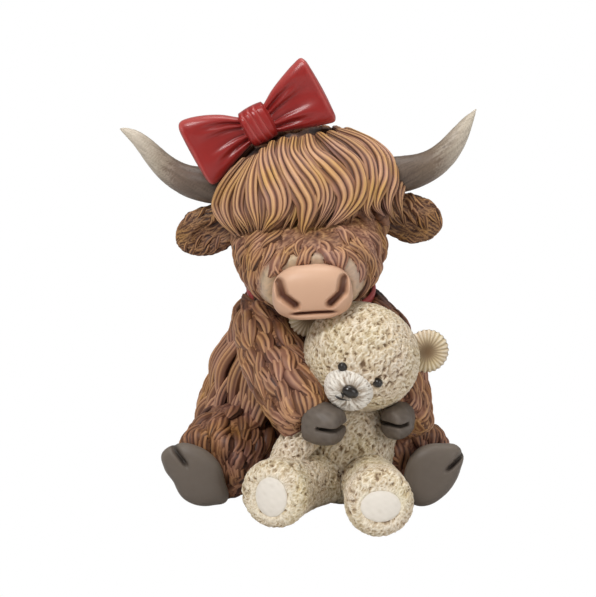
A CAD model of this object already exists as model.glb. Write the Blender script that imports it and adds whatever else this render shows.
import bmesh
import bpy
import numpy as np
from math import cos, pi, radians, sin
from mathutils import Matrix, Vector
from mathutils.kdtree import KDTree


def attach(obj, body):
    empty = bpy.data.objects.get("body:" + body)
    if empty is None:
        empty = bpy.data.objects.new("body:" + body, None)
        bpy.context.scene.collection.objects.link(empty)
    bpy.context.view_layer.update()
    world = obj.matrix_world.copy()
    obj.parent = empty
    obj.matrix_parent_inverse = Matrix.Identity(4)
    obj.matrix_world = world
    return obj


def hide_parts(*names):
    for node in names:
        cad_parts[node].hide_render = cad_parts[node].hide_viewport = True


# A sitting long-haired cow with a bow, hugging a curly bear. Shapes are worked out in millimetres
# and written in metres. +Z is up, the front is towards -Y, left and right are as seen from the front.
MM = 0.001

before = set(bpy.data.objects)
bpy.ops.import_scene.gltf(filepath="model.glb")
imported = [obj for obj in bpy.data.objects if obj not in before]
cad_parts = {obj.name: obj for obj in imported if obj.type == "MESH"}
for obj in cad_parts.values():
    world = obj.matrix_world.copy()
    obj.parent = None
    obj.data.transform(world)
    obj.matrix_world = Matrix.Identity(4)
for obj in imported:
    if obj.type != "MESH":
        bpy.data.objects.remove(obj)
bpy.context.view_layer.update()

# The camera: how steeply it looks down, and its distance and aim in millimetres
view_rise = radians(12)
view_distance = 570.0
view_aim = np.array((-4.3, -10.0, 60.0))
view_back = np.array((0.0, -cos(view_rise), sin(view_rise)))
view_up = np.array((0.0, sin(view_rise), cos(view_rise)))
view_side = np.array((1.0, 0.0, 0.0))


# Vectors held as rows of arrays
def unit(rows):
    return rows / np.maximum(np.linalg.norm(rows, axis=-1, keepdims=True), 1e-9)


def dots(first, second):
    return np.sum(first * second, axis=-1)


def level_with(rows, normals):
    """The rows turned flat onto the skin whose normals are given."""
    return unit(rows - normals * dots(rows, normals)[..., None])


def swell(share, low, high):
    """Rises smoothly from 0 at low to 1 at high."""
    share = np.clip((share - low) / (high - low), 0, 1)
    return share * share * (3 - 2 * share)


# Colours
def colour(red, green, blue):
    """A paint colour in 0 to 255 steps as the renderer's linear colour."""
    linear = []
    for step in (red, green, blue):
        share = step / 255
        linear.append(share / 12.92 if share <= 0.04045 else ((share + 0.055) / 1.055) ** 2.4)
    return (*linear, 1)


def painted(
    name, low, middle, high, rough=0.6, gloss=0.3, coat=0.0, speckle=0.07, middle_at=0.45,
    pale=(214, 194, 164), variety=0.0,
):
    """Paint that is dark in the grooves, light on the ridges, and pale where the piece is marked so."""
    material = bpy.data.materials.new(name)
    material.use_nodes = True
    nodes, links = material.node_tree.nodes, material.node_tree.links
    place = nodes.new("ShaderNodeTexCoord")

    def marked(label):
        mark = nodes.new("ShaderNodeAttribute")
        mark.attribute_name = label
        return mark.outputs["Fac"]

    def noise(scale, detail):
        cloud = nodes.new("ShaderNodeTexNoise")
        cloud.inputs["Scale"].default_value = scale
        cloud.inputs["Detail"].default_value = detail
        links.new(place.outputs["Object"], cloud.inputs["Vector"])
        return cloud.outputs["Fac"]

    def scaled(source, times, plus):
        step = nodes.new("ShaderNodeMath")
        step.operation = "MULTIPLY_ADD"
        links.new(source, step.inputs[0])
        step.inputs[1].default_value = times
        step.inputs[2].default_value = plus
        return step.outputs[0]

    wear = nodes.new("ShaderNodeMath")
    links.new(marked("ridge"), wear.inputs[0])
    links.new(scaled(noise(420, 4), 2 * speckle, -speckle), wear.inputs[1])
    ramp = nodes.new("ShaderNodeValToRGB")
    ramp.color_ramp.elements[0].color = colour(*low)
    ramp.color_ramp.elements[1].color = colour(*high)
    ramp.color_ramp.elements.new(middle_at).color = colour(*middle)
    links.new(wear.outputs[0], ramp.inputs["Fac"])
    lift = nodes.new("ShaderNodeMix")
    lift.data_type = "RGBA"
    lift.blend_type = "MULTIPLY"
    lift.inputs["Factor"].default_value = 0.45
    lift.inputs[6].default_value = colour(*pale)
    links.new(ramp.outputs["Color"], lift.inputs[7])
    washed = nodes.new("ShaderNodeMix")
    washed.data_type = "RGBA"
    links.new(marked("pale"), washed.inputs["Factor"])
    links.new(ramp.outputs["Color"], washed.inputs[6])
    links.new(lift.outputs[2], washed.inputs[7])
    shade = nodes.new("ShaderNodeHueSaturation")
    cloud = noise(95, 1)
    links.new(scaled(cloud, variety * 0.10, 0.5 - variety * 0.05), shade.inputs["Hue"])
    links.new(scaled(cloud, variety, 1 - variety / 2), shade.inputs["Saturation"])
    links.new(scaled(marked("tone"), 1, 0.5), shade.inputs["Value"])
    links.new(washed.outputs[2], shade.inputs["Color"])
    skin = nodes["Principled BSDF"]
    skin.inputs["Roughness"].default_value = rough
    skin.inputs["Specular IOR Level"].default_value = gloss
    skin.inputs["Coat Weight"].default_value = coat
    skin.inputs["Coat Roughness"].default_value = 0.18
    links.new(shade.outputs["Color"], skin.inputs["Base Color"])
    return material


hair_look = dict(rough=0.55, gloss=0.35, speckle=0.05)
long_hair_paint = painted(
    "long_hair_paint", (52, 27, 18), (140, 97, 72), (206, 160, 112), middle_at=0.5, variety=0.5, **hair_look
)
under_hair_paint = painted("under_hair_paint", (40, 22, 15), (88, 55, 39), (134, 92, 64), **hair_look)
body_hair_paint = painted(
    "body_hair_paint", (44, 24, 16), (124, 82, 60), (192, 146, 106), variety=0.5, **hair_look
)
leg_hair_paint = painted(
    "leg_hair_paint", (36, 20, 14), (104, 66, 47), (172, 124, 90), variety=0.5, **hair_look
)
ear_paint = painted("ear_paint", (30, 17, 12), (92, 58, 40), (182, 136, 92), variety=0.4, **hair_look)
horn_paint = painted(
    "horn_paint", (62, 50, 42), (112, 96, 82), (196, 184, 166), rough=0.45, middle_at=0.5, variety=0.2
)
hoof_paint = painted("hoof_paint", (58, 50, 44), (94, 84, 75), (120, 110, 99), rough=0.5)
muzzle_paint = painted(
    "muzzle_paint", (84, 46, 30), (184, 142, 114), (216, 178, 150), rough=0.42, middle_at=0.4, speckle=0.02
)
bow_paint = painted(
    "bow_paint", (84, 14, 13), (146, 34, 30), (190, 98, 92), rough=0.38, coat=0.2, speckle=0.03
)
collar_paint = painted("collar_paint", (110, 40, 38), (156, 62, 60), (188, 104, 98), rough=0.45)
bear_paint = painted("bear_paint", (112, 88, 62), (192, 172, 140), (232, 222, 202), variety=0.35)
snout_paint = painted("snout_paint", (150, 134, 116), (214, 206, 194), (236, 231, 222))
pad_paint = painted("pad_paint", (190, 176, 160), (220, 212, 200), (232, 224, 214), rough=0.7)
bear_dark_paint = painted("bear_dark_paint", (14, 11, 9), (30, 24, 19), (48, 40, 34), rough=0.3, coat=0.4)


# Pieces
def round_ball(around, rings):
    """A ball of radius 1 as a shape, with its corners and their places."""
    shape = bmesh.new()
    corners = bmesh.ops.create_uvsphere(shape, u_segments=around, v_segments=rings, radius=1)["verts"]
    return shape, corners, np.array([corner.co for corner in corners])


def put(corners, places):
    """Moves corners to places given in millimetres."""
    for corner, place in zip(corners, places * MM):
        corner.co = place


def bent(value, power):
    """A value from -1 to 1 raised to a power, with its sign kept."""
    return np.sign(value) * np.abs(value) ** power


def finished(name, shape, material, slot, nodes, ridge=None, tone=None, pale=None):
    """A piece made from its shape, none of it under the table: painted, and standing for its solids."""
    for corner in shape.verts:
        corner.co.z = max(corner.co.z, 0.0)
    bmesh.ops.recalc_face_normals(shape, faces=shape.faces)
    mesh = bpy.data.meshes.new(name)
    shape.to_mesh(mesh)
    shape.free()
    mesh.polygons.foreach_set("use_smooth", [True] * len(mesh.polygons))
    for label, values, plain_value in (("ridge", ridge, 0.5), ("tone", tone, 0.5), ("pale", pale, 0.0)):
        layer = mesh.attributes.new(label, "FLOAT", "POINT")
        if values is None:
            values = np.full(len(mesh.vertices), plain_value)
        layer.data.foreach_set("value", np.asarray(values, np.float32))
    mesh.materials.append(material)
    piece = bpy.data.objects.new(name, mesh)
    bpy.context.scene.collection.objects.link(piece)
    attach(piece, "root")
    if nodes:
        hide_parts(*nodes)


class Skin:
    """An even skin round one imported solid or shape, fine enough to carve."""

    def __init__(self, source, grain, soften=3):
        mesh = bpy.data.meshes.new("skin")
        if isinstance(source, str):
            shell = bmesh.new()
            shell.from_mesh(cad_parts[source].data)
            bmesh.ops.remove_doubles(shell, verts=shell.verts, dist=0.003 * MM)
        else:
            shell = source
        shell.to_mesh(mesh)
        shell.free()
        holder = bpy.data.objects.new("skin", mesh)
        bpy.context.scene.collection.objects.link(holder)
        even = holder.modifiers.new("even", "REMESH")
        even.mode = "VOXEL"
        even.voxel_size = grain * MM
        seen = holder.evaluated_get(bpy.context.evaluated_depsgraph_get())
        self.mesh = bpy.data.meshes.new_from_object(seen)
        bpy.data.objects.remove(holder)
        count = len(self.mesh.vertices)
        places = np.empty(count * 3)
        self.mesh.vertices.foreach_get("co", places)
        self.places = places.reshape(-1, 3) / MM
        edges = np.empty(len(self.mesh.edges) * 2, np.int64)
        self.mesh.edges.foreach_get("vertices", edges)
        self.edges = edges.reshape(-1, 2)
        self.places = self.smoothed(self.places, soften)
        self.write()
        self.measure()
        self.tree = tree_of(self.places)

    def smoothed(self, rows, rounds):
        first, second = self.edges.T
        count = len(self.places)
        links = np.bincount(first, minlength=count) + np.bincount(second, minlength=count)
        rows = np.array(rows, float)
        for _ in range(rounds):
            columns = []
            for column in np.atleast_2d(rows.T):
                total = np.bincount(first, column[second], count) + np.bincount(second, column[first], count)
                columns.append(0.5 * column + 0.5 * total / np.maximum(links, 1))
            rows = np.array(columns).T.reshape(rows.shape)
        return rows

    def write(self):
        self.mesh.vertices.foreach_set("co", (self.places * MM).astype(np.float32).ravel())
        self.mesh.update()

    def measure(self):
        normals = np.empty(len(self.places) * 3, np.float32)
        self.mesh.vertex_normals.foreach_get("vector", normals)
        self.normals = unit(normals.reshape(-1, 3).astype(float))

    def reshaped(self, reshape):
        """Moves the skin by a rule and measures it again."""
        if reshape is not None:
            reshape(self)
            self.write()
            self.measure()
            self.tree = tree_of(self.places)
        return self

    def facing(self, places):
        """The skin's outward directions nearest to the places."""
        return self.normals[[self.tree.find(place)[1] for place in places]]

    def raised(self, height):
        """The carved skin as a shape."""
        self.places = self.places + self.normals * height[:, None]
        self.write()
        shape = bmesh.new()
        shape.from_mesh(self.mesh)
        return shape


def tree_of(places):
    tree = KDTree(len(places))
    for index, place in enumerate(places):
        tree.insert(place, index)
    tree.balance()
    return tree


# Hair carved into a skin
class Tufts:
    """Tufts that start all over a skin and run with the flow, each a wavy line of marks."""

    def __init__(self, skin, flow, gap, reach, half_width, wave, turns, seed, curl=0.0, step=0.55):
        chance = np.random.default_rng(seed)
        order = chance.permutation(len(skin.places))
        cells = np.floor((skin.places[order] + chance.uniform(0, gap, 3)) / gap).astype(np.int64)
        kept = np.unique(cells, axis=0, return_index=True)[1]
        roots = order[kept]
        count = len(roots)
        here, normal = skin.places[roots], skin.normals[roots]
        self.step, self.reach = step, reach
        phase = chance.uniform(0, 2 * pi, count)
        bend = chance.uniform(-1, 1, count) * curl
        steps = max(int(reach / step), 2)
        size = chance.uniform(0.75, 1.2, count)
        shade = chance.uniform(-1, 1, count)
        marks = {name: [] for name in ("place", "ahead", "side", "along", "width", "shade", "phase")}
        for index in range(steps + 1):
            share = index / steps
            ahead = level_with(flow(here, normal), normal)
            across = np.cross(normal, ahead)
            angle = wave * np.sin(2 * pi * turns * share + phase) + bend * (share - 0.3) * 2
            ahead = ahead * np.cos(angle)[:, None] + across * np.sin(angle)[:, None]
            marks["place"].append(here)
            marks["ahead"].append(ahead)
            marks["side"].append(np.cross(normal, ahead))
            marks["along"].append(np.full(count, share))
            marks["width"].append(half_width * size)
            marks["shade"].append(shade)
            marks["phase"].append(phase)
            here = here + ahead * step
            near = np.array([skin.tree.find(place)[1] for place in here])
            normal = skin.normals[near]
            here = here - normal * dots(here - skin.places[near], normal)[:, None]
        for name, rows in marks.items():
            setattr(self, name, np.concatenate(rows))

    def carve(self, skin, tall, groove, fibres, nearest=9):
        """Height, ridge and tone at each place of the skin."""
        tree = tree_of(self.place)
        near = np.array([[found[1] for found in tree.find_n(place, nearest)] for place in skin.places])
        offset = skin.places[:, None, :] - self.place[near]
        ahead = dots(offset, self.ahead[near])
        aside = dots(offset, self.side[near])
        along = np.clip(self.along[near] + ahead / self.reach, 0, 1)
        taper = (0.55 + 0.45 * swell(along, 0, 0.3)) * (1 - swell(along, 0.45, 1.02)) ** 0.8
        across = aside / np.maximum(self.width[near] * taper, 0.02)
        inside = (np.abs(across) < 1) & (np.abs(ahead) < 1.3 * self.step)
        dome = np.sqrt(np.clip(1 - across**2, 0, 1))
        fibre = 0.5 + 0.5 * np.cos(pi * fibres * across + self.phase[near])
        lift = 0.35 + 0.65 * swell(along, 0, 0.8)
        height = np.where(inside, tall * lift * dome**0.6 - groove * (1 - fibre) * dome**0.3, 0)
        best = np.argmax(height, axis=1)
        rows = np.arange(len(best))
        height = np.maximum(height[rows, best], 0)
        ridge = np.clip(height / tall, 0, 1) * (0.55 + 0.45 * fibre[rows, best])
        tone = 0.5 + 0.09 * self.shade[near][rows, best]
        return height, ridge, tone


def haired(name, node, grain, material, slot, flow, tufts, carve, soften=3, reshape=None, dress=None):
    """A furry piece: its skin carved with tufts. Dress gives what its tone gains, and where it is pale."""
    sink = 0.3
    skin = Skin(node, grain, soften).reshaped(reshape)
    hair = Tufts(skin, flow, **tufts)
    height, ridge, tone = hair.carve(skin, **carve)
    pale = None
    if dress is not None:
        added, pale = dress(skin)
        tone = tone + added
    height = skin.smoothed(height - sink * carve["tall"], 1)
    finished(name, skin.raised(height), material, slot, [node], ridge, tone, pale)


def towards(direction):
    direction = np.array(direction, float)
    return lambda places, normals: np.broadcast_to(direction, places.shape)


def away_from(centre, drift=(0, 0, 0)):
    """Flow that spreads from a centre, with a steady drift added."""
    centre, drift = np.array(centre, float), np.array(drift, float)
    return lambda places, normals: unit(places - centre) + drift


def down_route(route, drift=(0, 0, 0)):
    """Flow that runs along a route of places, such as a limb."""
    route = np.array(route, float)
    starts, ways = route[:-1], unit(route[1:] - route[:-1])
    drift = np.array(drift, float)

    def flow(places, normals):
        distance = np.linalg.norm(places[:, None, :] - (starts + route[1:])[None] / 2, axis=2)
        weight = 1 / np.maximum(distance, 0.5) ** 3
        return unit((weight[:, :, None] * ways[None]).sum(1)) + drift

    return flow


# The head's own axes
head_centre = np.array((-1.0, -10.0, 88.0))
head_roll = radians(3.5)
head_side = np.array((cos(head_roll), 0, sin(head_roll)))
head_up = np.array((-sin(head_roll), 0, cos(head_roll)))
head_ahead = np.array((0.0, -1.0, 0.0))
mop_size = np.array((30.5, 30.0, 29.5))


def on_head(side, forward, up):
    return head_centre + head_side * side + head_ahead * forward + head_up * up


def behind_mop(side_share, up_share):
    """A place on the back of the egg of the mop of hair."""
    forward = -max(1 - side_share**2 - up_share**2, 0) ** 0.5
    return on_head(*(mop_size * np.array((side_share, forward, up_share))))


def away_from_mop(places):
    offset = places - head_centre
    shares = np.stack([dots(offset, axis) for axis in (head_side, head_ahead, head_up)], -1) / mop_size**2
    return unit(shares[..., :1] * head_side + shares[..., 1:2] * head_ahead + shares[..., 2:] * head_up)


def through(points, count):
    """A smooth run of places through the given ones."""
    points = np.array(points, float)
    points = np.vstack([2 * points[0] - points[1], points, 2 * points[-1] - points[-2]])
    spans = len(points) - 3
    share = np.linspace(0, spans, count)
    start = np.minimum(share.astype(int), spans - 1)
    t = (share - start)[:, None]
    a, b, c, d = (points[start + k] for k in range(4))
    return 0.5 * (2 * b + (c - a) * t + (2 * a - 5 * b + 4 * c - d) * t**2 + (3 * b - a - 3 * c + d) * t**3)


lock_balls = {}


def lock_ball(rings, around):
    """A ball that locks are drawn out from, made once for each fineness."""
    if (rings, around) not in lock_balls:
        shape = bmesh.new()
        bmesh.ops.create_uvsphere(shape, u_segments=around, v_segments=rings, radius=1)
        mesh = bpy.data.meshes.new("lock")
        shape.to_mesh(mesh)
        shape.free()
        lock_balls[rings, around] = mesh, np.array([corner.co for corner in mesh.vertices])
    return lock_balls[rings, around]


def add_lock(
    shape, route, half_width, half_thick, rings, around, lobes, groove, twist, phase, lean, outward
):
    """Adds one grooved lock along a route. Gives each corner's ridge, share along and turn outwards."""
    mesh, ball = lock_ball(rings, around)
    along = np.arccos(np.clip(-ball[:, 2], -1, 1)) / pi
    turn = np.arctan2(ball[:, 1], ball[:, 0])
    turn = turn + 0.5 * np.cos(turn)
    line = through(route, 160)
    ways = unit(np.gradient(line, axis=0))
    mark = along * (len(line) - 1)
    low = np.minimum(mark.astype(int), len(line) - 2)
    part = (mark - low)[:, None]
    place = line[low] * (1 - part) + line[low + 1] * part
    way = unit(ways[low] * (1 - part) + ways[low + 1] * part)
    upright = level_with(outward(place), way)
    flat = np.cross(way, upright)
    out = upright * cos(lean) + flat * sin(lean)
    side = np.cross(way, out)
    taper = (0.45 + 0.55 * swell(along, 0.0, 0.38)) * (1 - 0.9 * swell(along, 0.52, 1.0))
    taper = taper * np.clip(along / 0.03, 0, 1) ** 0.5 * np.clip((1 - along) / 0.04, 0, 1) ** 0.5
    lobe = np.abs(np.sin(lobes * turn / 2 + phase + twist * along))
    fine = np.abs(np.sin(1.5 * lobes * turn + 2 * phase + 2 * twist * along))
    size = taper * (1 - groove * (1 - lobe**0.6) - 0.04 * (1 - fine))
    place = place + side * (half_width * size * np.cos(turn))[:, None]
    place = place + out * (half_thick * size * np.sin(turn))[:, None]
    mesh.vertices.foreach_set("co", (place * MM).astype(np.float32).ravel())
    shape.from_mesh(mesh)
    return np.clip(lobe**0.8 - 0.12 * (1 - fine), 0, 1), along, np.clip(np.sin(turn), 0, 1)


def on_mop_seen(across, up, out):
    """The place on the egg of the mop that the camera sees at this offset from the middle of its view."""
    eye = view_aim + view_back * view_distance
    ray = view_side * across + view_up * up - view_back * view_distance
    axes = np.array([head_side, head_ahead, head_up])
    start, way = axes @ (eye - head_centre) / (mop_size * out), axes @ ray / (mop_size * out)
    a, b, c = way @ way, start @ way, start @ start - 1
    reach = (-b - max(b * b - a * c, 0) ** 0.5) / a
    spot = start + way * reach
    return head_centre + (spot / np.linalg.norm(spot) * mop_size * out) @ axes


# Forelock: long wavy locks from the crown down over the brow. Each lock: half width, half thickness, tone,
# then its route as seen from the front, in millimetres across and up from the middle of the view.
front_locks = [
    (2.9, 2.6, -0.4, [
        (-17.0, 46.5), (-21.7, 40.4), (-25.1, 34.0), (-26.0, 29.8), (-24.0, 24.7), (-20.0, 20.1),
    ]),
    (2.9, 2.8, 0.2, [
        (-14.9, 46.5), (-18.4, 40.4), (-21.7, 34.0), (-22.5, 28.9), (-21.2, 23.8), (-18.9, 20.3),
    ]),
    (2.7, 2.8, -0.3, [
        (-13.8, 47.4), (-16.1, 41.4), (-18.3, 34.9), (-18.8, 29.3), (-17.0, 24.7), (-16.1, 21.5),
    ]),
    (3.0, 2.8, 0.4, [
        (-12.4, 47.8), (-13.9, 42.3), (-14.5, 36.3), (-14.2, 30.7), (-13.4, 25.6), (-13.1, 21.0),
    ]),
    (3.9, 3.2, 0.6, [
        (-11.2, 49.7), (-11.2, 44.1), (-9.2, 37.7), (-7.1, 32.6), (-7.3, 27.9), (-9.8, 24.5), (-12.6, 20.5),
    ]),
    (3.4, 2.8, -0.2, [
        (-8.2, 52.0), (-8.9, 46.9), (-7.1, 40.9), (-4.6, 35.3), (-4.0, 30.7), (-6.1, 26.1), (-10.1, 21.9),
    ]),
    (4.2, 3.4, 0.3, [
        (-4.5, 53.2), (-5.0, 47.4), (-3.0, 41.8), (0.3, 36.3), (3.0, 31.2), (2.5, 26.6), (1.7, 22.4),
        (3.3, 18.9),
    ]),
    (3.6, 3.0, 0.2, [
        (-1.1, 53.4), (-1.7, 47.8), (1.1, 42.8), (4.7, 38.1), (6.5, 33.5), (5.3, 28.9), (3.4, 24.2),
    ]),
    (3.0, 2.4, -0.9, [
        (1.7, 53.6), (1.7, 48.3), (4.7, 43.2), (8.1, 38.6), (9.6, 33.5), (8.3, 28.4), (5.2, 22.4),
    ]),
    (4.7, 3.6, 0.5, [
        (3.1, 54.1), (4.7, 47.8), (9.6, 42.8), (14.0, 37.9), (15.6, 33.0), (13.3, 27.9), (8.7, 22.6),
    ]),
    (4.2, 3.4, 0.1, [
        (6.1, 54.6), (12.1, 49.2), (17.6, 43.9), (19.8, 38.1), (19.0, 32.6), (15.8, 27.7), (11.5, 24.0),
    ]),
    (3.6, 3.0, -0.2, [
        (9.4, 55.0), (16.8, 50.9), (22.0, 45.3), (23.3, 39.1), (22.6, 33.5), (22.3, 28.9), (24.4, 25.2),
    ]),
    (3.7, 3.0, 0.4, [
        (12.1, 55.7), (20.9, 52.0), (25.9, 46.2), (27.1, 40.0), (25.5, 34.4), (25.5, 30.3), (28.4, 27.2),
    ]),
    (3.3, 2.8, 0.0, [
        (14.9, 56.2), (24.2, 51.8), (29.2, 45.5), (30.3, 39.1), (29.2, 34.0), (29.5, 29.8), (31.4, 26.3),
    ]),
    (3.2, 2.6, -0.3, [
        (17.7, 56.4), (27.0, 51.6), (31.7, 45.5), (33.1, 39.1), (32.5, 33.5), (33.7, 28.9), (35.8, 24.2),
    ]),
]


# Locks at the back: side share at the crown and at the nape
back_locks = [
    (-0.62, -0.98), (-0.48, -0.95), (-0.34, -0.90), (-0.26, -0.66), (-0.16, -0.42), (-0.06, -0.16),
    (0.04, 0.12), (0.14, 0.38), (0.24, 0.64), (0.34, 0.88), (0.48, 0.95), (0.62, 0.98),
]


class Locks:
    """Grooved locks of hair laid one over another in one shape."""

    def __init__(self, seed, outward):
        self.shape = bmesh.new()
        self.chance = np.random.default_rng(seed)
        self.outward = outward
        self.ridges, self.tones = [], []

    def lay(self, route, half_width, half_thick, tone, rings, around, lobes, groove, lean=0.3):
        chance = self.chance
        lobe, along, front = add_lock(
            self.shape, route, half_width, half_thick, rings, around, lobes, groove,
            chance.uniform(-1.0, 1.0), chance.uniform(0, pi), chance.uniform(-lean, lean), self.outward,
        )
        self.ridges.append(np.clip(lobe * (0.3 + 0.7 * front) - 0.15 * swell(along, 0.75, 1), 0, 1))
        self.tones.append(0.5 + 0.10 * tone - 0.12 * swell(0.25 - along, 0, 0.25))

    def finish(self, name, material, slot):
        ridge, tone = np.concatenate(self.ridges), np.concatenate(self.tones)
        finished(name, self.shape, material, slot, [], ridge, tone)


def coat(
    name, node, material, slot, flow, gap, reach, half_width, half_thick, wave, seed,
    lobes=7, where=None, reshape=None, rings=30, around=24, turns=0.8, groove=0.3,
):
    """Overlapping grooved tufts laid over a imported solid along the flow."""
    skin = Skin(node, grain=0.9, soften=4).reshaped(reshape)
    steps = 8
    hair = Tufts(skin, flow, gap, reach, 1.0, wave, turns, seed, step=reach / steps)
    count = len(hair.place) // (steps + 1)
    places = hair.place.reshape(steps + 1, count, 3)
    outward = np.cross(hair.ahead, hair.side).reshape(steps + 1, count, 3)
    sizes, tones = hair.width[:count], hair.shade[:count]
    share = np.linspace(0, 1, steps + 1)
    lift = half_thick * (-0.75 + 1.0 * swell(share, 0, 0.55) - 0.35 * swell(share, 0.75, 1))
    tufts = Locks(seed, skin.facing)
    for index in range(count):
        if where is not None and not where(places[:, index]):
            continue
        route = places[:, index] + outward[:, index] * (lift * sizes[index])[:, None]
        tufts.lay(route, half_width * sizes[index], half_thick, tones[index], rings, around, lobes, groove)
    tufts.finish(name, material, slot)


def hair_mop():
    """The locks over the brow, and thinner strands in the gaps between them."""
    mop = Locks(7, away_from_mop)
    routes = []
    for half_width, half_thick, tone, seen in front_locks:
        route = np.array([on_mop_seen(across, up, 1.03) for across, up in seen])
        mop.lay(route, half_width, half_thick, tone, rings=84, around=56, lobes=9, groove=0.36, lean=0.25)
        routes.append(through(route, 8))
    mop.finish("forelock_locks", long_hair_paint, "long_hair")
    strands = Locks(9, away_from_mop)
    # Share of the way from one lock to the next, share of the way out from the head, number of places
    between = ((0.5, 0.97, 8), (0.3, 0.985, 8), (0.75, 0.98, 7))
    for first, second in zip(routes, routes[1:]):
        for part, out, count in between:
            route = head_centre + (first * (1 - part) + second * part - head_centre) * out
            strands.lay(route[:count], 1.9, 1.7, -1.6 + part, rings=40, around=16, lobes=5, groove=0.28)
    strands.finish("forelock_strands", long_hair_paint, "long_hair")


def back_hair():
    """Locks from the crown down to the nape."""
    back = Locks(11, away_from_mop)
    for crown, nape in back_locks:
        wave = back.chance.uniform(-0.05, 0.05)
        shares = []
        for step in range(6):
            share = step / 5
            side = crown + (nape - crown) * share**0.8 + wave * sin(2 * pi * share)
            up = 0.93 - 1.15 * share
            shrink = min(1, 0.985 / (side**2 + up**2) ** 0.5)
            shares.append((side * shrink, up * shrink))
        route = [behind_mop(side, up) for side, up in shares]
        tone = back.chance.uniform(-0.6, 0.4)
        back.lay(route, 5.6, 3.2, tone, rings=60, around=52, lobes=13, groove=0.26)
    back.finish("back_locks", long_hair_paint, "long_hair")


def crown_flow(places, normals):
    return places - on_head(0, 0, 30) + head_up * -4


def drawn_in(skin):
    """The hair under the locks lies closer to the skull."""
    skin.places = skin.places - 2.6 * away_from_mop(skin.places)


haired(
    "under_hair", "forelock", 1.0, under_hair_paint, "long_hair", crown_flow,
    dict(gap=2.2, reach=14, half_width=1.2, wave=0.35, turns=1.1, seed=3),
    dict(tall=1.0, groove=0.3, fibres=2), reshape=drawn_in,
)
hair_mop()
back_hair()

# Cow: head, body and limbs
muzzle_place = (0.0, 38.0, -17.0)


def round_muzzle(places):
    """How far out a place is from the middle of the muzzle pad: 1 at its edge."""
    offset = places - on_head(*muzzle_place)
    side, forward, up = (dots(offset, axis) for axis in (head_side, head_ahead, head_up))
    return (np.abs(side / 12.6) ** 2.6 + np.abs(up / 8.8) ** 2.6) ** (1 / 2.6), forward, up


def face_dress(skin):
    """Dark under the fringe, pale in a band round the muzzle."""
    ring, forward, up = round_muzzle(skin.places)
    under_fringe = np.exp(-(((up - 15.5) / 3.5) ** 2)) * swell(forward, -12, -4)
    band = swell(forward, -8.5, -4.0) * (1 - swell(ring, 1.18, 1.32))
    return -0.22 * under_fringe, band


def clear_of_muzzle(places):
    ring, forward, up = round_muzzle(places[:1])
    return places[0][2] < 90 and (ring[0] > 1.38 or forward[0] < -9)


haired(
    "cow_head", "head", 0.65, body_hair_paint, "body_fur", away_from(on_head(0, 26, 8), (0, 0.1, -0.15)),
    dict(gap=1.3, reach=6, half_width=0.6, wave=0.6, turns=1.1, seed=5),
    dict(tall=0.8, groove=0.1, fibres=1), dress=face_dress,
)
coat(
    "face_tufts", "head", body_hair_paint, "body_fur", away_from(on_head(0, 22, 12), (0, 0.1, -0.5)),
    gap=5.0, reach=14, half_width=2.1, half_thick=1.4, wave=0.5, seed=51,
    lobes=7, where=clear_of_muzzle, rings=20, around=16, turns=1.0, groove=0.38,
)


def slimmer(skin):
    """The right shoulder is drawn in beside the bear."""
    x, z = skin.places[:, 0], skin.places[:, 2]
    skin.places[:, 0] = x - 4.0 * swell(x, 18, 34) * swell(z, 22, 36) * (1 - swell(z, 78, 90))


def body_shows(places):
    """The torso's tufts lie where the arms and the bear leave it in sight."""
    x, y, z = places[0]
    return 5 < z < 66 and not (y < -22 and abs(x - 8) < 20)


haired(
    "cow_torso", "torso", 0.9, leg_hair_paint, "body_fur", towards((0, 0, -1)),
    dict(gap=2.4, reach=13, half_width=1.6, wave=0.35, turns=1.1, seed=8),
    dict(tall=1.0, groove=0.3, fibres=2), reshape=slimmer,
)


def down_and_out(places, normals):
    """Flow down the body and out over the haunches."""
    return np.stack([places[:, 0] * 0.012, places[:, 1] * 0.004 - 0.1, np.full(len(places), -1.0)], -1)


coat(
    "body_tufts", "torso", body_hair_paint, "body_fur", down_and_out,
    gap=7.0, reach=21, half_width=3.4, half_thick=2.1, wave=0.3, seed=52,
    lobes=9, where=body_shows, reshape=slimmer, rings=20, around=18, groove=0.38,
)
arm_left_route = [
    (-12, -9, 58), (-14, -22, 54), (-13, -31, 47.5), (-9, -41, 41), (-5, -50, 35.6), (-2, -55, 31.3),
]
arm_right_route = [(14, -7, 58), (24, -12.5, 50), (30, -22, 41), (32, -32, 33), (30, -42, 29)]
leg_left_route = [(-10.6, 2.4, 14.4), (-21.8, -14.4, 13.7), (-28.6, -27.6, 11.9), (-32.5, -36.5, 10.8)]
leg_right_route = [(10.6, 2.4, 14.4), (22.4, -14.4, 13.7), (30.2, -27.6, 11.9), (34.7, -36.5, 10.8)]
limb_hair = dict(gap=2.2, reach=10, half_width=1.2, wave=0.3, turns=0.9)
limb_carving = dict(tall=0.8, groove=0.3, fibres=2)


def fanned(route, across, drift):
    """Flow down a limb that turns inwards along it."""
    along = down_route(route, drift)
    across = np.array(across, float)

    def flow(places, normals):
        share = swell(-places[:, 1], 10, 45)
        return along(places, normals) + across * (1.1 - 0.9 * share)[:, None]

    return flow


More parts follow.
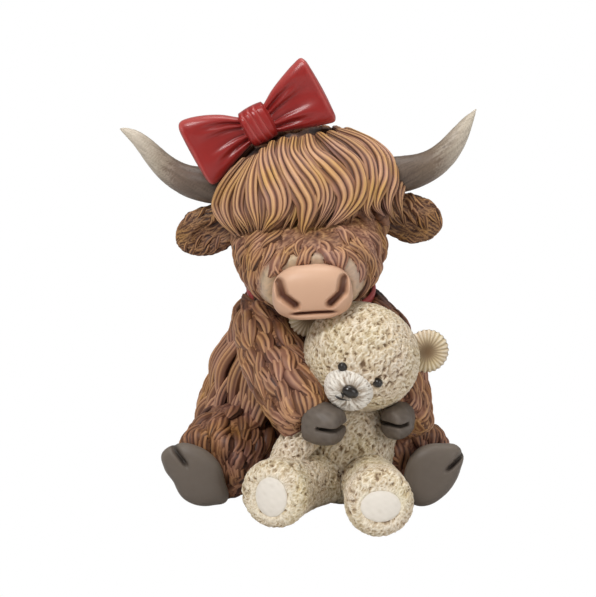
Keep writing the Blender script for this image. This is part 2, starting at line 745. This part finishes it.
# Node, paint of its tufts, flow, reach and half width of its tufts, and what reshapes it
limbs = (
    ("arm_left", body_hair_paint, fanned(arm_left_route, (0.55, 0, 0), (0, 0, -0.2)), 18, 2.9, None),
    ("arm_right", body_hair_paint, down_route(arm_right_route, (0, 0, -0.35)), 16, 2.8, slimmer),
    ("leg_left", leg_hair_paint, down_route(leg_left_route, (0, 0, -0.55)), 15, 2.9, None),
    ("leg_right", leg_hair_paint, down_route(leg_right_route, (0, 0, -0.55)), 15, 2.9, None),
)
for seed, (node, paint, flow, reach, half_width, reshape) in enumerate(limbs, 13):
    haired(
        "cow_" + node, node, 0.75, leg_hair_paint, "body_fur", flow,
        dict(limb_hair, seed=seed), limb_carving, reshape=reshape,
    )
    coat(
        "cow_" + node + "_tufts", node, paint, "body_fur", flow,
        gap=5.2, reach=reach, half_width=half_width, half_thick=1.55, wave=0.3, seed=seed + 40,
        lobes=8, reshape=reshape, rings=18, around=16, groove=0.38,
    )


def haunch_hair():
    """Long hair that hangs from the flanks over the thighs, so that the body slopes out to the hooves."""
    haunch = Locks(61, lambda places: unit((places - np.array((0, 2.0, 18.0))) * np.array((1, 1, 0.4))))
    # Height of the tops, share of the way down to the foot, swing
    rows = ((49, 0.72, 0.0), (41, 0.88, 0.12), (33, 1.0, 0.05))
    for sign, out in ((-1, 1.0), (1, 0.93)):
        for row, (start_rise, end_share, swing) in enumerate(rows):
            for step in range(9):
                turn = radians(-32 + 104 * (step + 0.5 * (row % 2)) / 8.5)
                rise = start_rise + 2.0 * sin(3 * step)
                top = np.array((sign * 24.5 * cos(turn), 1 - 22.5 * sin(turn), rise))
                foot_side = sign * (38.5 - 13.5 * swell(sin(turn), 0.3, 1.0)) * out
                foot = np.array((foot_side, 3 - 36 * max(sin(turn), -0.55), 4.5))
                foot = top + (foot - top) * end_share
                bulge = np.array((sign * (2.4 + 1.5 * row) * cos(turn), -1.6 * sin(turn), 3.2))
                hip = (top + foot) / 2 + bulge
                shift = np.array((swing + 0.10 * sin(2.1 * step + row), 0.08 * cos(1.7 * step), 0))
                route = [top, top * 0.55 + hip * 0.45 - 1.2 * shift, hip + 6 * shift, (hip + foot) / 2, foot]
                tone = haunch.chance.uniform(-1, 0.8)
                haunch.lay(route, 3.5, 2.2, tone, rings=30, around=24, lobes=9, groove=0.38)
    haunch.finish("haunch_tufts", body_hair_paint, "body_fur")


haunch_hair()
tail_route = [
    (0, 21, 26), (0, 24.5, 19.4), (7.8, 24.7, 11.5), (14, 22.6, 6.1),
    (19.6, 19.2, 4.7), (24.1, 15.1, 4.3), (27.2, 10.6, 3.6),
]
haired(
    "cow_tail", "tail", 0.36, leg_hair_paint, "long_hair", down_route(tail_route),
    dict(gap=1.6, reach=9, half_width=0.9, wave=0.3, turns=1.0, seed=17),
    dict(tall=0.7, groove=0.3, fibres=2),
)


def ear_dress(skin):
    """An ear is darker where it faces forward."""
    return -0.16 * swell(-skin.normals[:, 1], 0.2, 0.9), None


def off_ear_middle(places):
    """The ear's tufts start above and below the band at its middle."""
    return abs(places[0][2] - 86) > 3.2


for side, sign in (("left", -1), ("right", 1)):
    haired(
        "cow_ear_" + side, "ear_" + side, 0.34, ear_paint, "long_hair", towards((sign, -0.1, -0.45)),
        dict(gap=1.3, reach=7, half_width=0.6, wave=0.3, turns=0.9, seed=19),
        dict(tall=0.6, groove=0.2, fibres=1), soften=2, dress=ear_dress,
    )
    coat(
        "ear_tufts_" + side, "ear_" + side, ear_paint, "long_hair", towards((sign * 0.55, 0.1, -1)),
        gap=2.6, reach=8.0, half_width=1.15, half_thick=0.8, wave=0.35, seed=54,
        lobes=5, where=off_ear_middle, rings=16, around=12,
    )


# Horns: fine long grooves and a pale tip
def horn(name, node, sign, reach):
    root = 18
    skin = Skin(node, grain=0.45, soften=4)
    flow = towards((sign, 0, 0.6))
    hair = Tufts(skin, flow, gap=1.6, reach=12, half_width=0.8, wave=0.06, turns=0.6, seed=23)
    height, ridge, tone = hair.carve(skin, tall=0.28, groove=0.12, fibres=2)
    out = sign * (skin.places[:, 0] - head_centre[0]) - root
    pale = swell(out / reach, 0.35, 1.0)
    ridge = np.clip(0.12 + 0.25 * ridge + 0.75 * pale, 0, 1)
    finished(name, skin.raised(skin.smoothed(height, 1)), horn_paint, "horn", [node], ridge, tone)


horn("cow_horn_left", "horn_left", -1, 43)
horn("cow_horn_right", "horn_right", 1, 39)


# Smooth pieces: a softened skin with faint unevenness of the casting
def cast(name, node, grain, material, slot, soften, uneven=0.08, lift=0.0, reshape=None):
    skin = Skin(node, grain, soften).reshaped(reshape)
    x, y, z = skin.places.T
    bumps = np.sin(x * 1.7 + 1.3 * np.sin(y * 0.9)) * np.sin(y * 1.5 + 1.1 * np.sin(z * 1.2))
    bumps = bumps * np.sin(z * 1.9 + x * 0.6)
    finished(name, skin.raised(uneven * bumps + lift), material, slot, [node], 0.5 + 0.12 * bumps)


def muzzle():
    """The bare pad: a squarish cushion with hooked nostrils and a mouth line over a full lower lip."""
    shape, corners, ball = round_ball(96, 64)
    power = 2.7
    ball = ball / (np.sum(np.abs(ball) ** power, axis=1) ** (1 / power))[:, None]
    narrow = 1 - 0.06 * ball[:, 2]
    middle = on_head(0, 40.3, -17.2)
    half_wide, half_deep, half_tall = 12.3, 6.6, 8.5
    place = middle + head_side * (half_wide * ball[:, 0] * narrow)[:, None]
    place = place + head_ahead * (half_deep * -ball[:, 1])[:, None]
    place = place + head_up * (half_tall * ball[:, 2])[:, None]
    put(corners, place)
    skin = Skin(shape, 0.24, 1)
    offset = skin.places - middle
    side, forward, up = (dots(offset, axis) for axis in (head_side, head_ahead, head_up))
    facing = swell(dots(skin.normals, head_ahead), 0.0, 0.5) * (forward > 0)
    across = np.abs(side)

    def pit(start, end, wide):
        """Nearness to a stroke between two places on the pad."""
        way = np.array(end) - np.array(start)
        share = np.clip(((across - start[0]) * way[0] + (up - start[1]) * way[1]) / (way @ way), 0, 1)
        gap = np.hypot(across - start[0] - share * way[0], up - start[1] - share * way[1])
        return 1 - swell(gap, 0.2 * wide, wide)

    nostril = np.maximum(pit((9.9, 3.8), (9.0, 0.2), 2.4), pit((8.9, 0.0), (5.4, -2.9), 2.1))
    line = -5.5 - 0.006 * (side**2)
    mouth = np.exp(-(((up - line) / 0.5) ** 2)) * (1 - swell(across, 4.5, 8.5))
    lip = np.exp(-(((up - line + 1.7) / 1.1) ** 2)) * (1 - swell(across, 4, 9))
    rim = np.exp(-(((across - 11.4) / 0.8) ** 2) - ((up - 1.8) / 3.2) ** 2)
    height = facing * (0.9 * lip + 0.6 * rim - 2.6 * nostril - 1.5 * mouth)
    skin.places = skin.places + head_ahead * height[:, None]
    ridge = 0.62 - 0.62 * np.clip(nostril * facing, 0, 1) ** 1.5
    ridge = ridge - 0.7 * mouth * facing + 0.2 * lip + 0.02 * up
    shape = skin.raised(np.zeros(len(across)))
    finished("cow_muzzle", shape, muzzle_paint, "bare_muzzle", ["muzzle"], np.clip(ridge, 0, 1))


muzzle()


def drawn_to(middle, shares):
    """Scales a skin about a middle by a share in each direction."""
    middle, shares = np.array(middle), np.array(shares)

    def reshape(skin):
        skin.places = middle + (skin.places - middle) * shares

    return reshape


# Each fore hoof: the middle that it is scaled about, and by what share
hoof_draws = {"left": ((8, -60, 30.5), (0.90, 1.0, 1.0)), "right": ((26.9, -52, 28.6), (0.70, 1.0, 0.90))}
for side, draw in hoof_draws.items():
    node = "fore_hoof_" + side
    cast("cow_" + node, node, 0.42, hoof_paint, "hoof", 3, reshape=drawn_to(*draw))
cast("cow_collar", "collar", 0.5, collar_paint, "collar_red", 2, lift=-0.9)


# Hind hooves: broad soles turned to the front. Outline as angle in degrees and reach in millimetres.
left_sole = [
    (-160, 7.4), (-110, 9.0), (-62, 11.2), (-38, 13.0), (-8, 9.4), (48, 8.4), (84, 9.2), (110, 10.8),
    (131, 12.0), (150, 12.4), (168, 10.2),
]
right_sole = [
    (12, 8.6), (35, 11.4), (54, 12.0), (72, 10.8), (90, 10.4), (122, 10.2), (164, 9.4), (198, 10.0),
    (236, 11.2), (290, 7.6), (335, 7.0),
]


def hind_hoof(side, sign, middle, sole, notch_angle):
    """A broad sole of the given outline, with a cleft at the notch angle."""
    half_deep = 5.2
    shape, corners, ball = round_ball(120, 80)
    turn = np.arctan2(ball[:, 1], ball[:, 0])
    angles, reaches = np.array(sole).T
    around = np.concatenate([angles - 360, angles, angles + 360])
    smooth = through(np.stack([around, np.tile(reaches, 3)], -1), 400)
    reach = np.interp(np.degrees(turn), smooth[:, 0], smooth[:, 1])
    depth = ball[:, 2]
    spread = (1 - np.abs(depth) ** 3.4) ** (1 / 3.4) * (1 - 0.16 * swell(depth, -0.2, 1))
    across, up = spread * reach * np.cos(turn), spread * reach * np.sin(turn)
    notch = radians(notch_angle)
    off_line = across * sin(notch) - up * cos(notch) - 0.6
    on_line = across * cos(notch) + up * sin(notch)
    cleft = np.exp(-((off_line / 0.75) ** 2)) * swell(on_line, 3.5, 6.5)
    back = half_deep * depth + 2.6 * cleft * (depth < 0.4) + 0.10 * across * sign
    place = np.array(middle) + np.stack([across, back, up * (1 - 0.12 * cleft)], -1)
    put(corners, place)
    ridge = 0.5 + 0.25 * swell(spread, 0.85, 1.0) - 0.6 * cleft
    finished("cow_hind_hoof_" + side, shape, hoof_paint, "hoof", ["hind_hoof_" + side], np.clip(ridge, 0, 1))


hind_hoof("left", -1, (-36.8, -43.5, 10.4), left_sole, 128)
hind_hoof("right", 1, (38.6, -44.5, 10.4), right_sole, 42)

# Bow: two flared loops and a knot, in the bow's own axes
bow_centre = np.array((-17.0, -18.0, 118.5))
bow_tilt = radians(28.5)
bow_along = np.array((cos(bow_tilt), 0, sin(bow_tilt)))
bow_up = np.array((-sin(bow_tilt), 0, cos(bow_tilt)))
bow_ahead = np.array((0.0, -1.0, 0.0))
# Stations along a loop: distance from the knot's middle, upper edge, lower edge, half thickness
left_loop = [
    (2.0, 3.2, -3.6, 2.2), (5.0, 5.2, -4.6, 2.8), (9.0, 8.2, -5.9, 3.6), (14.0, 10.7, -7.9, 4.2),
    (19.0, 12.3, -9.9, 4.4), (22.0, 12.2, -10.0, 3.8), (23.4, 9.4, -7.2, 2.4),
]
right_loop = [
    (2.0, 3.4, -4.0, 2.2), (5.0, 5.0, -5.6, 2.8), (9.0, 7.4, -7.0, 3.6), (14.0, 9.6, -8.8, 4.2),
    (19.0, 11.4, -10.4, 4.4), (22.0, 11.8, -10.8, 3.8), (23.4, 8.6, -8.2, 2.4),
]


def on_bow(out, up, depth):
    """Places in the bow's own axes."""
    return bow_centre + bow_along * out[:, None] + bow_up * up[:, None] + bow_ahead * depth[:, None]


def bow_loop(name, node, side, stations, scoop):
    """A pillow-like loop with pleats that fan out from the knot."""
    shape, corners, ball = round_ball(160, 110)
    along = np.arccos(np.clip(-ball[:, 2], -1, 1)) / pi
    turn = np.arctan2(ball[:, 1], ball[:, 0])
    count = 200
    mark = np.clip(along, 0, 1) * (count - 1)
    columns = through(stations, count).T
    out, upper, lower, thick = (np.interp(mark, np.arange(count), column) for column in columns)
    end = np.clip((1 - along) / 0.06, 0, 1) ** 0.5 * np.clip(along / 0.04, 0, 1) ** 0.5
    across, front = bent(np.cos(turn), 0.55), bent(np.sin(turn), 0.75)
    middle, half = (upper + lower) / 2, (upper - lower) / 2
    fade = 1 - swell(along, 0.30, 0.70)
    pleats = sum(np.exp(-(((across - at) / 0.11) ** 2)) for at in (-0.60, -0.15, 0.22, 0.58))
    dip = 1.3 * pleats * fade * swell(along, 0.02, 0.2)
    band = np.exp(-(((along - 0.86) / 0.05) ** 2))
    hollow = scoop * np.exp(-(((across - 0.1) / 0.42) ** 2) - ((along - 0.62) / 0.2) ** 2)
    depth = thick * end * front - np.clip(front, 0, 1) * (dip + hollow - 0.5 * band * end)
    up = middle + half * end * across
    put(corners, on_bow(side * out, up, depth))
    edge = np.clip((np.abs(across) - 0.8) / 0.2, 0, 1) * 0.35
    edge = edge + np.exp(-(((along - 0.97) / 0.05) ** 2)) * 0.4
    ridge = np.clip(0.4 - 0.22 * pleats * fade + edge + 0.22 * band, 0, 1)
    finished(name, shape, bow_paint, "bow_red", [node], ridge)


def bow_knot():
    """The pleated knot between the loops."""
    shape, corners, ball = round_ball(96, 72)
    along = np.arccos(np.clip(-ball[:, 2], -1, 1)) / pi * 2 - 1
    turn = np.arctan2(ball[:, 1], ball[:, 0])
    end = np.clip((1 - np.abs(along)) / 0.22, 0, 1) ** 0.45
    swollen = 1 - 0.10 * along**2
    half_long, half_tall, half_deep = 5.2, 6.2, 5.6
    up = half_tall * swollen * end * bent(np.cos(turn), 0.7)
    front = bent(np.sin(turn), 0.7)
    lean = along + 0.12 * np.cos(turn)
    pleats = sum(np.exp(-(((lean - at) / 0.07) ** 2)) for at in (-0.45, -0.02, 0.38))
    depth = half_deep * swollen * end * front - 0.5 * pleats * np.clip(front, 0, 1)
    put(corners, on_bow(half_long * along, up, depth))
    ridge = np.clip(0.42 + 0.25 * pleats + 0.35 * (1 - end), 0, 1)
    finished("bow_knot_ribbon", shape, bow_paint, "bow_red", ["bow_knot"], ridge)


bow_loop("bow_loop_left_ribbon", "bow_loop_left", -1, left_loop, 0.8)
bow_loop("bow_loop_right_ribbon", "bow_loop_right", 1, right_loop, 1.9)
bow_knot()

# Bear: short curly tufts
bear_head_centre = np.array((15.6, -43.0, 48.5))
bear_roll, bear_nod = radians(25), radians(24)
bear_side = np.array((cos(bear_roll), 0, -sin(bear_roll)))
bear_level_up = np.array((sin(bear_roll), 0, cos(bear_roll)))
bear_up = bear_level_up * cos(bear_nod) + head_ahead * sin(bear_nod)
bear_ahead = head_ahead * cos(bear_nod) - bear_level_up * sin(bear_nod)


def on_bear_face(side, forward, up):
    return bear_head_centre + bear_side * side + bear_ahead * forward + bear_up * up


curls = dict(gap=1.35, reach=4.2, half_width=0.5, wave=0.95, turns=1.1, curl=0.7, step=0.4)
curl_carving = dict(tall=0.9, groove=0.1, fibres=1)
bear_furs = (
    ("bear_head_fur", "bear_head", 0.36, away_from(on_bear_face(0, 19, -1))),
    ("bear_body_fur", "bear_body", 0.4, towards((0, -0.2, -1))),
    ("bear_arm_fur", "bear_arm_left", 0.28, towards((-0.3, -0.5, -1))),
    ("bear_leg_left_fur", "bear_leg_left", 0.33, towards((-0.3, -1, -0.1))),
    ("bear_leg_right_fur", "bear_leg_right", 0.33, towards((0.1, -1, -0.1))),
)
for seed, (name, node, grain, flow) in enumerate(bear_furs, 31):
    haired(name, node, grain, bear_paint, "bear_fur", flow, dict(curls, seed=seed), curl_carving, soften=2)


def bear_ear(side, middle):
    """A round ear like a shallow dish, with grooves that spread from its root."""
    shape, corners, ball = round_ball(96, 72)
    front = np.clip(ball[:, 2], 0, 1)
    reach = np.hypot(ball[:, 0], ball[:, 1])
    turn = np.arctan2(ball[:, 1], ball[:, 0])
    half_wide, half_tall, half_deep, hollow, count = 6.7, 6.9, 2.9, 2.6, 26
    grooves = 0.5 + 0.5 * np.cos(count * turn + 0.8 * np.sin(3 * turn))
    dish = hollow * np.exp(-((reach / 0.62) ** 2)) * (front > 0)
    rim = 1 + 0.03 * np.cos(count * turn) * (reach > 0.7)
    ahead = half_deep * ball[:, 2] - dish - 0.45 * (1 - grooves) * swell(reach, 0.25, 0.8) * (front > 0)
    place = np.array(middle) + bear_side * (half_wide * ball[:, 0] * rim)[:, None]
    place = place + bear_level_up * (half_tall * ball[:, 1] * rim)[:, None] + head_ahead * ahead[:, None]
    put(corners, place)
    ridge = np.clip(0.35 + 0.5 * grooves * swell(reach, 0.2, 0.8) - 0.35 * dish / hollow, 0, 1)
    finished("bear_ear_fur_" + side, shape, bear_paint, "bear_fur", ["bear_ear_" + side], ridge)


bear_ear("left", (-0.6, -36.5, 60.0))
bear_ear("right", (36.2, -40.5, 49.6))


def bear_mouth():
    """The painted mouth: a line down from the nose and a smile, as fine raised cords on the snout."""
    snout = Skin("bear_snout", grain=0.5, soften=2)
    mouth = Locks(71, snout.facing)
    ahead_of_snout = -66.0
    line_down = ((9.2, 42.6), (8.9, 41.4), (8.6, 39.6))
    smile = ((4.6, 41.0), (6.2, 39.9), (8.6, 39.6), (11.6, 38.9))
    for points in (line_down, smile):
        route = [snout.places[snout.tree.find((x, ahead_of_snout, z))[1]] for x, z in points]
        route = np.array(route) + 0.95 * snout.facing(np.array(route))
        mouth.lay(route, 0.36, 0.36, 0, rings=30, around=12, lobes=2, groove=0.0)
    mouth.finish("bear_mouth_line", bear_dark_paint, "bear_dark")


bear_mouth()
haired(
    "bear_snout_fur", "bear_snout", 0.25, snout_paint, "bear_cream", away_from(on_bear_face(-1, 25, 2)),
    dict(gap=1.1, reach=3.4, half_width=0.5, wave=0.2, turns=0.6, seed=37, step=0.4),
    dict(tall=0.4, groove=0.1, fibres=1), 2,
)
cast("bear_nose_gloss", "bear_nose", 0.2, bear_dark_paint, "bear_dark", 2, 0.02)
cast("bear_eye_left_gloss", "bear_eye_left", 0.2, bear_dark_paint, "bear_dark", 1, 0.0)
cast("bear_eye_right_gloss", "bear_eye_right", 0.2, bear_dark_paint, "bear_dark", 1, 0.0)
cast("bear_pad_left", "bear_foot_pad_left", 0.25, pad_paint, "bear_cream", 2, 0.05)
cast("bear_pad_right", "bear_foot_pad_right", 0.25, pad_paint, "bear_cream", 2, 0.05)

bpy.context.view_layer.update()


# Studio: a white table and soft light
def plain(name, shade, bright_to_camera):
    """White surface that the camera sees as pure white."""
    material = bpy.data.materials.new(name)
    material.use_nodes = True
    nodes, links = material.node_tree.nodes, material.node_tree.links
    nodes["Principled BSDF"].inputs["Base Color"].default_value = (shade, shade, shade, 1)
    nodes["Principled BSDF"].inputs["Roughness"].default_value = 0.9
    nodes["Principled BSDF"].inputs["Specular IOR Level"].default_value = 0.0
    glow = nodes.new("ShaderNodeEmission")
    glow.inputs["Strength"].default_value = bright_to_camera
    rays = nodes.new("ShaderNodeLightPath")
    mix = nodes.new("ShaderNodeMixShader")
    links.new(rays.outputs["Is Camera Ray"], mix.inputs["Fac"])
    links.new(nodes["Principled BSDF"].outputs[0], mix.inputs[1])
    links.new(glow.outputs[0], mix.inputs[2])
    links.new(mix.outputs[0], nodes["Material Output"].inputs["Surface"])
    return material


table_shape = bmesh.new()
bmesh.ops.create_grid(table_shape, x_segments=1, y_segments=1, size=1.5)
table_mesh = bpy.data.meshes.new("table_top")
table_shape.to_mesh(table_mesh)
table_shape.free()
table_mesh.materials.append(plain("table_white", 0.8, 1.0))
table = bpy.data.objects.new("table_top", table_mesh)
table.location = (0, 0, -0.0002)
bpy.context.scene.collection.objects.link(table)

world = bpy.data.worlds.new("studio")
bpy.context.scene.world = world
world.use_nodes = True
sky = world.node_tree
background = sky.nodes["Background"]
background.inputs["Color"].default_value = (1, 1, 1, 1)
background.inputs["Strength"].default_value = 0.30
seen = sky.nodes.new("ShaderNodeBackground")
seen.inputs["Color"].default_value = (1, 1, 1, 1)
seen.inputs["Strength"].default_value = 1.0
rays = sky.nodes.new("ShaderNodeLightPath")
choice = sky.nodes.new("ShaderNodeMixShader")
sky.links.new(rays.outputs["Is Camera Ray"], choice.inputs["Fac"])
sky.links.new(background.outputs[0], choice.inputs[1])
sky.links.new(seen.outputs[0], choice.inputs[2])
sky.links.new(choice.outputs[0], sky.nodes["World Output"].inputs["Surface"])


def soft_light(name, place, aim, size, watts):
    light = bpy.data.lights.new(name, "AREA")
    light.shape = "DISK"
    light.size = size
    light.energy = watts
    lamp = bpy.data.objects.new(name, light)
    lamp.location = place
    lamp.rotation_euler = (Vector(aim) - Vector(place)).to_track_quat("-Z", "Y").to_euler()
    bpy.context.scene.collection.objects.link(lamp)


soft_light("key_light", (-0.35, -0.55, 0.75), (0, -0.02, 0.06), 0.35, 5.6)
soft_light("fill_light", (0.6, -0.6, 0.35), (0, -0.02, 0.06), 0.5, 1.9)
soft_light("top_light", (0.05, 0.1, 0.8), (0, -0.02, 0.08), 0.4, 2.2)

camera_data = bpy.data.cameras.new("front_camera")
camera_data.sensor_fit = "HORIZONTAL"
camera_data.sensor_width = 36
camera_data.lens = 104.33
camera = bpy.data.objects.new("front_camera", camera_data)
aim = Vector(view_aim * MM)
camera.location = aim + Vector(view_back) * (view_distance * MM)
camera.rotation_euler = (aim - camera.location).to_track_quat("-Z", "Y").to_euler()
bpy.context.scene.collection.objects.link(camera)
bpy.context.scene.camera = camera
bpy.context.scene.view_settings.view_transform = "Standard"
